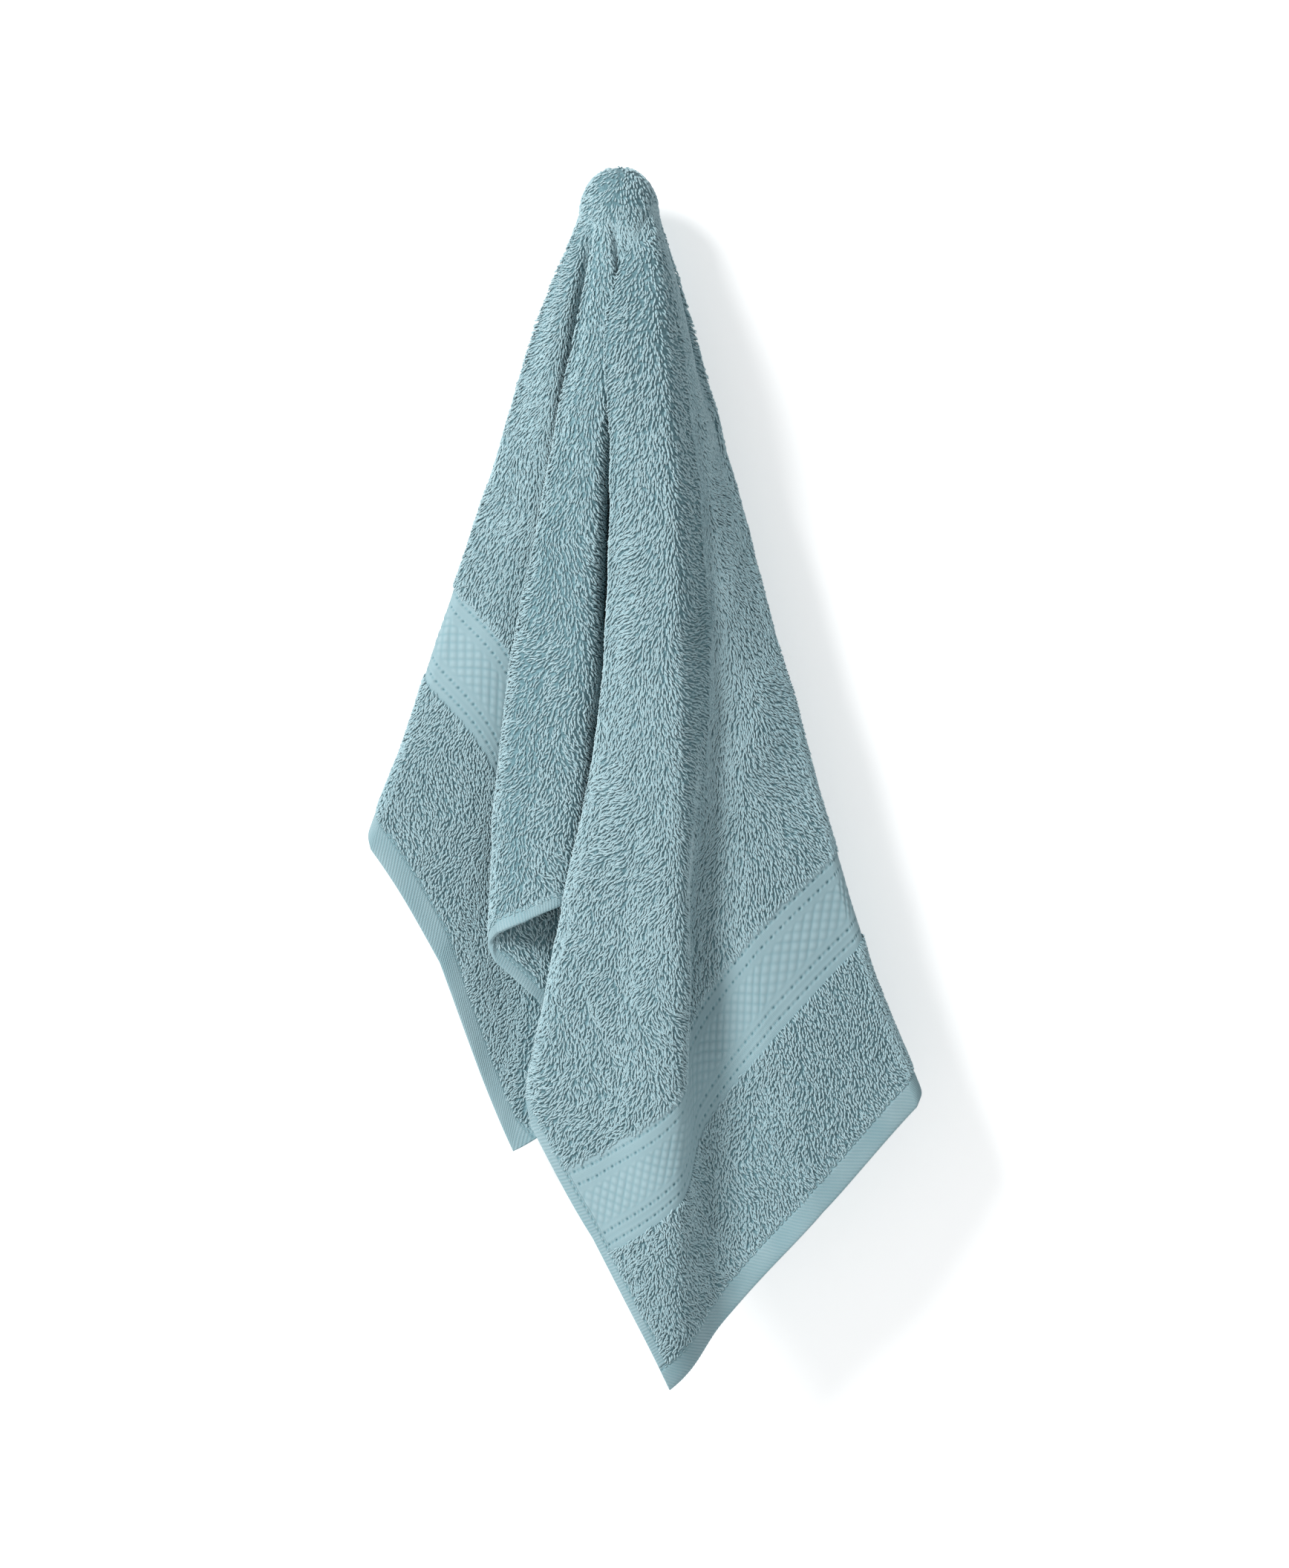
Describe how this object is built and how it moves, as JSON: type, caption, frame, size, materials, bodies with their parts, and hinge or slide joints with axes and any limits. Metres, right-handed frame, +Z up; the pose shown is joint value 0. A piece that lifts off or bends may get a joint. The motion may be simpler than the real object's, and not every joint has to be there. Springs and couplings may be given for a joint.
{
  "type": "hand towel",
  "caption": "Terry hand towel with flat woven end bands and sewn hems, hanging in soft folds from a single hook.",
  "frame": {"origin": "the point on top of the hook that carries the towel, on the underside of the cloth", "axes": "+Z up, -Y to the room, +Y to the wall, +X right as seen from the room"},
  "size_m": [0.2919, 0.0836, 0.6431],
  "materials": {
    "terry_pile": "cotton loop pile, matt",
    "dobby_weave": "flat waffle and rib weave, slight sheen",
    "hem_weave": "rolled and sewn plain weave",
    "sewing_thread": "lockstitch thread"
  },
  "bodies": {
    "gather": {"hook_gather": "terry_pile"},
    "drape": {"main_pile": "terry_pile", "long_end_pile": "terry_pile", "short_end_pile": "terry_pile", "long_end_band": "dobby_weave", "short_end_band": "dobby_weave", "long_end_hem": "hem_weave", "short_end_hem": "hem_weave", "near_side_hem": "hem_weave", "far_side_hem": "hem_weave", "long_end_stitching": "sewing_thread", "short_end_stitching": "sewing_thread", "near_side_stitching": "sewing_thread", "far_side_stitching": "sewing_thread"}
  },
  "joints": [
    {"name": "sway", "type": "hinge", "parent": "gather", "child": "drape", "pos_m": [0, 0, 0], "axis": [0, 1, 0], "range_deg": [-20, 20]}
  ]
}
